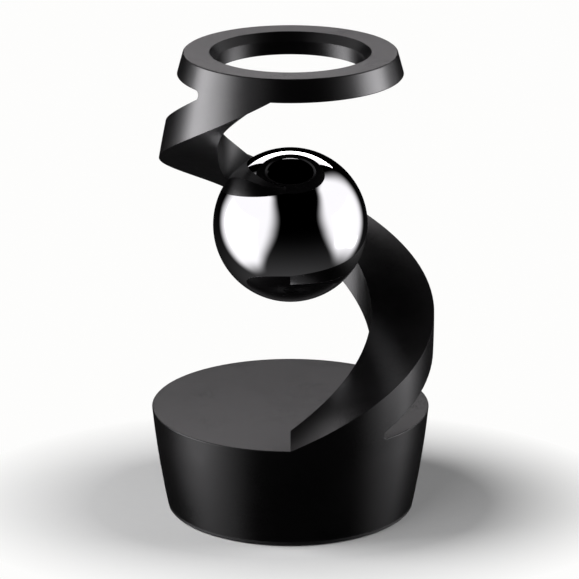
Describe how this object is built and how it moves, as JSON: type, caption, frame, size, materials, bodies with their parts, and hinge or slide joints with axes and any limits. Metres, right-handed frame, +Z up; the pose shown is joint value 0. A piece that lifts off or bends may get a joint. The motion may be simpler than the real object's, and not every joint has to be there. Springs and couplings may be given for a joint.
{
  "type": "magnetic levitation desk sculpture",
  "caption": "Black barrel-shaped desk ornament: a hollow round base rises in one spiral arm to a top ring, and a mirror ball floats inside on a magnetic field.",
  "frame": {"origin": "on the floor at the barrel's axis, in the middle of the rubber foot pad's underside", "axes": "+Z up along the barrel's axis, -Y towards the front where the arm's foot meets the base in a crease, +X to the right, where the arm rises first"},
  "size_m": [0.1201, 0.1192, 0.2],
  "materials": {
    "satin_black_aluminium": "satin black anodised",
    "mirror_steel": "polished",
    "base_plastic": "matte",
    "foot_rubber": "matte",
    "screw_steel": "black zinc",
    "zinc_steel": "zinc plated",
    "ferrite": "matte",
    "nylon": "matte",
    "board_green": "satin",
    "brass_hex": "satin",
    "inlet_plastic": "satin",
    "inlet_contact": "nickel plated",
    "nickel_magnet": "nickel plated",
    "bobbin_plastic": "satin",
    "copper_wire": "enamelled copper",
    "capacitor_can": "satin",
    "chip_epoxy": "matte"
  },
  "bodies": {
    "base": {"back_left_bobbin": "bobbin_plastic", "back_left_core": "zinc_steel", "back_left_winding": "copper_wire", "back_right_bobbin": "bobbin_plastic", "back_right_core": "zinc_steel", "back_right_winding": "copper_wire", "base_plate": "base_plastic", "board_screws": "screw_steel", "board_standoffs": "brass_hex", "coil_driver_back": "chip_epoxy", "coil_driver_front": "chip_epoxy", "control_board": "board_green", "field_magnet": "ferrite", "foot_pad": "foot_rubber", "front_left_bobbin": "bobbin_plastic", "front_left_core": "zinc_steel", "front_left_winding": "copper_wire", "front_right_bobbin": "bobbin_plastic", "front_right_core": "zinc_steel", "front_right_winding": "copper_wire", "hall_sensor_x": "chip_epoxy", "hall_sensor_y": "chip_epoxy", "hall_sensor_z": "chip_epoxy", "inductor": "ferrite", "inlet_nut": "zinc_steel", "inlet_pin": "inlet_contact", "left_capacitor": "capacitor_can", "plate_screws": "screw_steel", "power_inlet": "inlet_plastic", "processor_chip": "chip_epoxy", "right_capacitor": "capacitor_can", "sensor_board": "board_green", "sensor_post": "nylon", "spiral_frame": "satin_black_aluminium", "voltage_regulator": "chip_epoxy", "yoke_plate": "zinc_steel"},
    "lifted_magnet": {"float_magnet": "nickel_magnet"},
    "ball": {"ball_shell_upper": "mirror_steel", "ball_shell_lower": "mirror_steel", "magnet_carrier": "nylon", "magnet_retainer": "nylon", "retainer_screws": "screw_steel"}
  },
  "joints": [
    {"name": "ball_bob", "type": "slide", "parent": "base", "child": "lifted_magnet", "axis": [0, 0, 1], "range_m": [-0.003, 0.003], "stiffness_N_per_m": 320, "springref_m": 0.00635},
    {"name": "ball_spin", "type": "hinge", "parent": "lifted_magnet", "child": "ball", "pos_m": [0, 0, 0.1248], "axis": [0, 0, 1], "continuous": true}
  ]
}
